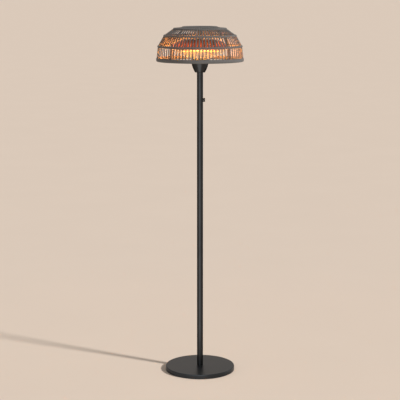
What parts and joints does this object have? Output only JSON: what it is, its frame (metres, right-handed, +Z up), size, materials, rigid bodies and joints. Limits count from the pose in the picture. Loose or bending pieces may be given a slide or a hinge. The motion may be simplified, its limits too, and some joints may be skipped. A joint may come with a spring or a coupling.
{
  "type": "patio heater",
  "caption": "Free-standing electric patio heater: round weighted base, slim pole with a heat knob, and a glowing ring-element head inside a slatted grey dome shade.",
  "frame": {"origin": "on the floor, under the middle of the pole", "axes": "+Z up the pole; -Y is the front, towards the picture's viewer; +X is the knob's side"},
  "size_m": [0.4971, 0.4972, 2.0077],
  "materials": {
    "black_coat": "semi-gloss black powder coat",
    "zinc_steel": "zinc-plated steel",
    "black_steel": "blackened steel",
    "concrete": "cast concrete",
    "rubber": "matte",
    "black_plastic": "fine moulded grain",
    "pale_plastic": "moulded inlay",
    "switch_plastic": "moulded",
    "lead_sleeve": "silicone sleeve",
    "white_ceramic": "unglazed",
    "guard_chrome": "bright plated wire",
    "polished_reflector": "polished",
    "dark_cover": "heat-proof dark coat",
    "quartz": "clear quartz, glowing",
    "carbon": "glowing carbon fibre",
    "grey_wicker": "woven resin strip",
    "shade_frame": "dark powder coat"
  },
  "bodies": {
    "stand": {"base_cover": "black_coat", "lower_pole": "black_coat", "upper_pole": "black_coat", "neck_cup": "black_coat", "neck_lid": "black_coat", "base_plate": "zinc_steel", "base_screws": "zinc_steel", "centre_bolt": "zinc_steel", "centre_washer": "zinc_steel", "pole_foot_insert": "zinc_steel", "pole_coupler": "zinc_steel", "switch_nut": "zinc_steel", "neck_set_screws": "zinc_steel", "stem": "zinc_steel", "stem_nuts": "zinc_steel", "lower_spacer": "zinc_steel", "upper_spacer": "zinc_steel", "guard_hub": "zinc_steel", "guard_clips": "zinc_steel", "clip_screws": "zinc_steel", "element_clips": "zinc_steel", "coupler_screws": "black_steel", "lid_screws": "black_steel", "cap_nut": "black_steel", "base_weight": "concrete", "base_feet": "rubber", "switch_seal": "rubber", "cover_seal": "rubber", "inlet_bush": "black_plastic", "switch_bezel": "black_plastic", "switch_body": "switch_plastic", "tilt_switch": "switch_plastic", "thermal_cutout": "switch_plastic", "switch_lead": "lead_sleeve", "element_leads": "lead_sleeve", "terminal_block": "white_ceramic", "element_caps": "white_ceramic", "guard_wires": "guard_chrome", "guard_rings": "guard_chrome", "reflector": "polished_reflector", "reflector_cover": "dark_cover", "quartz_tubes": "quartz", "filaments": "carbon", "rim_hoop": "grey_wicker", "lower_hoop": "grey_wicker", "middle_hoop": "grey_wicker", "upper_hoop": "grey_wicker", "top_hoop": "grey_wicker", "lower_slats": "grey_wicker", "middle_slats": "grey_wicker", "upper_slats": "grey_wicker", "top_slats": "grey_wicker", "frame_ribs": "shade_frame", "top_disc": "shade_frame"},
    "knob": {"control_knob": "black_plastic", "knob_shaft": "zinc_steel", "knob_screw": "zinc_steel", "knob_pointer": "pale_plastic"}
  },
  "joints": [
    {"name": "knob_turn", "type": "hinge", "parent": "stand", "child": "knob", "pos_m": [0, 0, 1.5918], "axis": [1, 0, 0], "range_deg": [-180, 0]}
  ]
}
